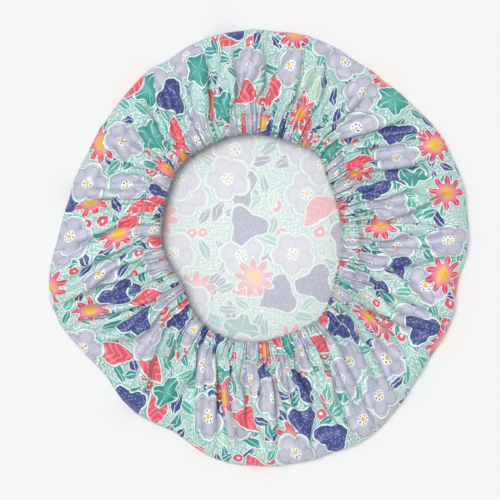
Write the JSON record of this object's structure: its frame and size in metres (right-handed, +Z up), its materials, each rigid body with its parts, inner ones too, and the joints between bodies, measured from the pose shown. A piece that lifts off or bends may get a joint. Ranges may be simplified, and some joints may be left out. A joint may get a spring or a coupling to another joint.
{
  "type": "shower cap",
  "caption": "Shower cap lying crown down: gathered printed cloth shell, translucent waterproof liner and an elastic in a ruffled casing round an oval opening.",
  "frame": {"origin": "on the resting surface, under the middle of the cap's box, with the crown flat on the surface", "axes": "+X to the right and +Y to the back of the lying cap as seen from above, +Z up out of the opening"},
  "size_m": [0.2822, 0.2934, 0.027],
  "materials": {
    "printed_cloth": "smooth printed weave, slight sheen",
    "liner_film": "translucent film",
    "elastic": "braided elastic",
    "thread": "spun thread"
  },
  "bodies": {
    "crown": {"outer_shell": "printed_cloth", "waterproof_liner": "liner_film"},
    "rim": {"elastic_band": "elastic", "elastic_tack": "thread", "needle_thread": "thread", "bobbin_thread": "thread"}
  },
  "joints": [
    {"name": "rim_lift", "type": "slide", "parent": "crown", "child": "rim", "axis": [0, 0, 1], "range_m": [0, 0.036], "deforming": ["outer_shell", "waterproof_liner"]}
  ]
}
